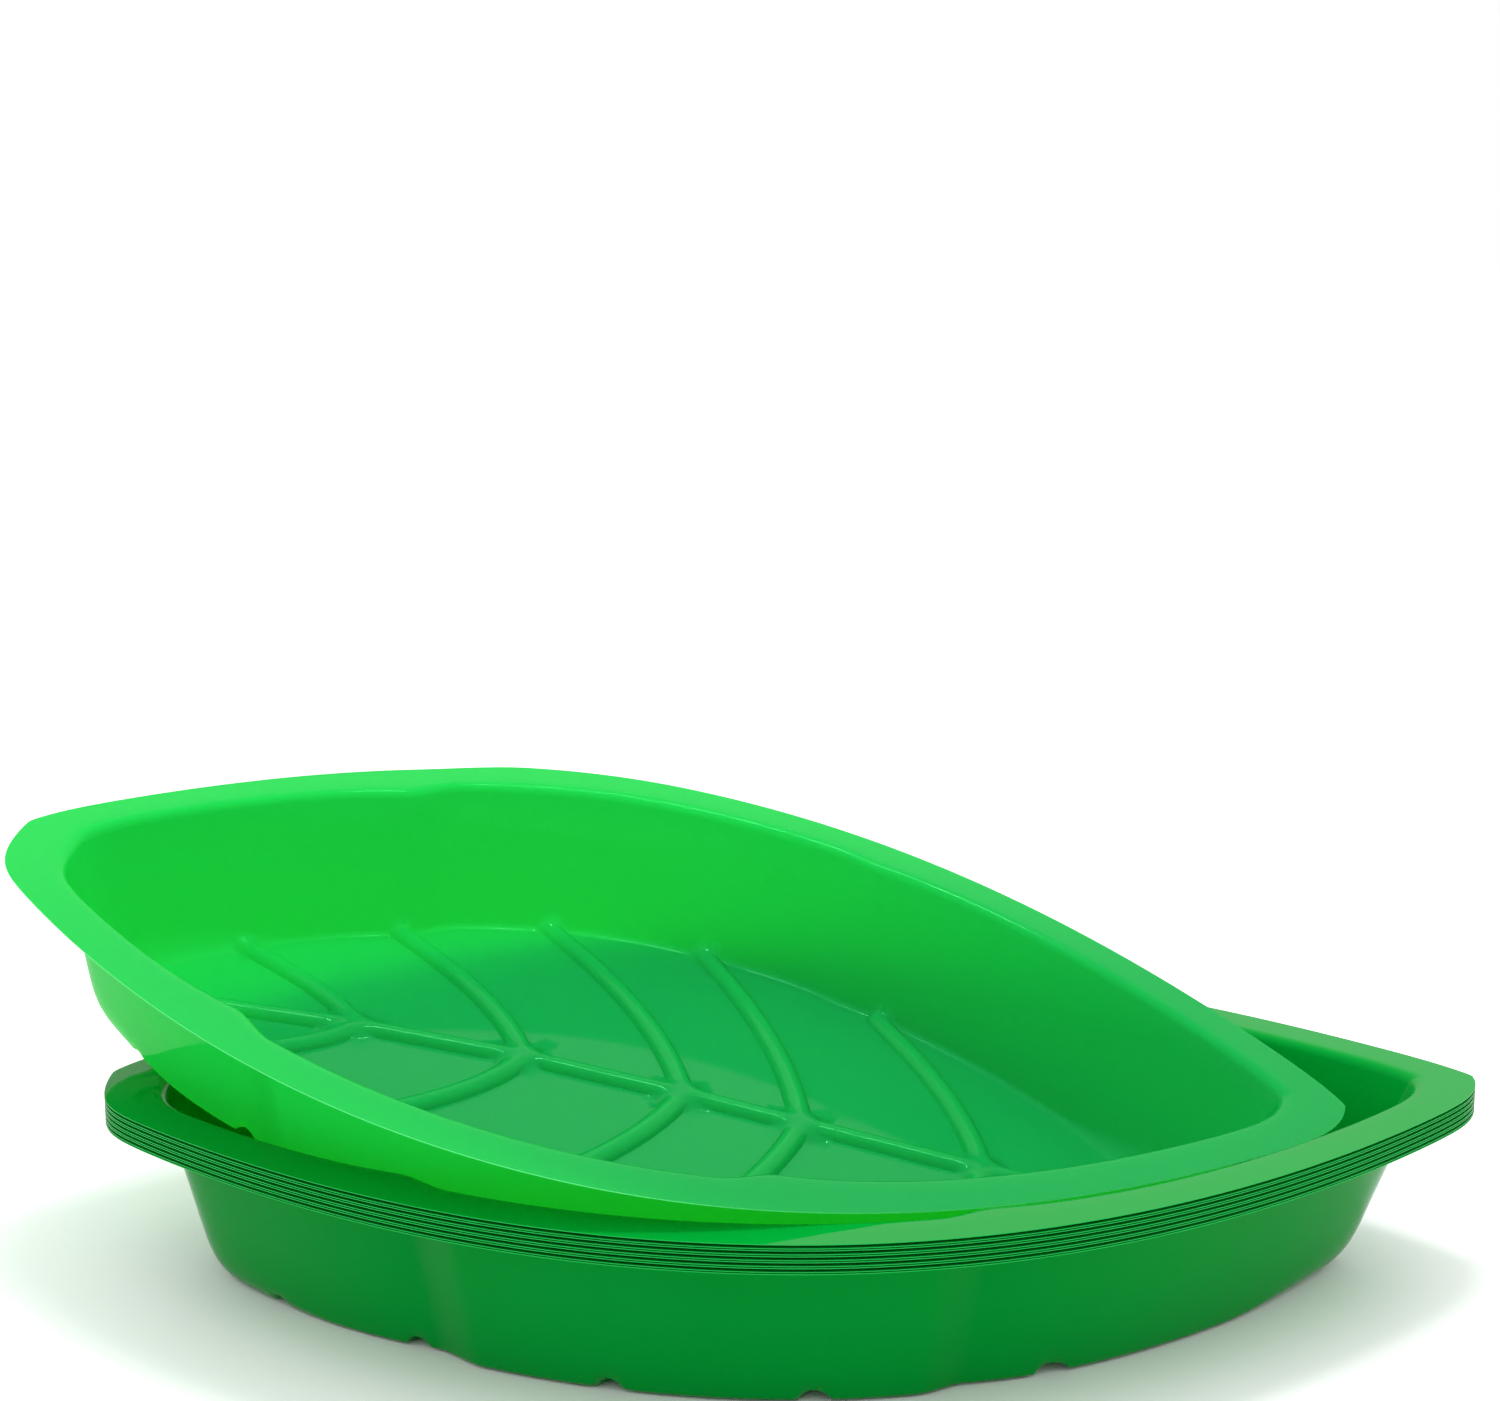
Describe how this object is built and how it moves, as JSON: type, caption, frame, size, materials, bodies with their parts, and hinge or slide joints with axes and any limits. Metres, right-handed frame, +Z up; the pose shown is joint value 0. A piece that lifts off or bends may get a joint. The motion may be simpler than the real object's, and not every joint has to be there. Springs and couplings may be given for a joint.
{
  "type": "leaf-shaped serving tray set",
  "caption": "Nesting set of leaf-shaped plastic trays, each with a flat rim, a sloping lobed wall and a floor with raised leaf veins; one lies askew on the nested stack.",
  "frame": {"origin": "on the surface that the stack stands on, on the middle of the nested trays' length and on the leaf's own axis", "axes": "+X along the leaf from its tip towards its base, +Y across the leaf to the side away from the viewer, +Z up out of the trays' wells"},
  "size_m": [0.3881, 0.2341, 0.1108],
  "materials": {
    "stack_green": "glossy, slightly translucent deep green formed sheet",
    "loose_green": "glossy, slightly translucent green formed sheet, brighter because light comes through a single sheet"
  },
  "bodies": {
    "tray_01": {"tray_01": "stack_green"},
    "tray_02": {"tray_02": "stack_green"},
    "tray_03": {"tray_03": "stack_green"},
    "tray_04": {"tray_04": "stack_green"},
    "tray_05": {"tray_05": "stack_green"},
    "tray_06": {"tray_06": "stack_green"},
    "tray_07": {"tray_07": "stack_green"},
    "tray_08": {"tray_08": "stack_green"},
    "tray_09": {"tray_09": "stack_green"},
    "tray_10": {"tray_10": "stack_green"},
    "tray_11": {"tray_11": "stack_green"},
    "loose_tray": {"loose_tray": "loose_green"}
  },
  "joints": [
    {"name": "tray_02_lift", "type": "slide", "parent": "tray_01", "child": "tray_02", "axis": [0, 0, 1], "range_m": [0, 0.06]},
    {"name": "tray_03_lift", "type": "slide", "parent": "tray_02", "child": "tray_03", "axis": [0, 0, 1], "range_m": [0, 0.06]},
    {"name": "tray_04_lift", "type": "slide", "parent": "tray_03", "child": "tray_04", "axis": [0, 0, 1], "range_m": [0, 0.06]},
    {"name": "tray_05_lift", "type": "slide", "parent": "tray_04", "child": "tray_05", "axis": [0, 0, 1], "range_m": [0, 0.06]},
    {"name": "tray_06_lift", "type": "slide", "parent": "tray_05", "child": "tray_06", "axis": [0, 0, 1], "range_m": [0, 0.06]},
    {"name": "tray_07_lift", "type": "slide", "parent": "tray_06", "child": "tray_07", "axis": [0, 0, 1], "range_m": [0, 0.06]},
    {"name": "tray_08_lift", "type": "slide", "parent": "tray_07", "child": "tray_08", "axis": [0, 0, 1], "range_m": [0, 0.06]},
    {"name": "tray_09_lift", "type": "slide", "parent": "tray_08", "child": "tray_09", "axis": [0, 0, 1], "range_m": [0, 0.06]},
    {"name": "tray_10_lift", "type": "slide", "parent": "tray_09", "child": "tray_10", "axis": [0, 0, 1], "range_m": [0, 0.06]},
    {"name": "tray_11_lift", "type": "slide", "parent": "tray_10", "child": "tray_11", "axis": [0, 0, 1], "range_m": [0, 0.06]},
    {"name": "loose_tray_lift", "type": "slide", "parent": "tray_11", "child": "loose_tray", "axis": [0, 0, 1], "range_m": [0, 0.06]}
  ]
}
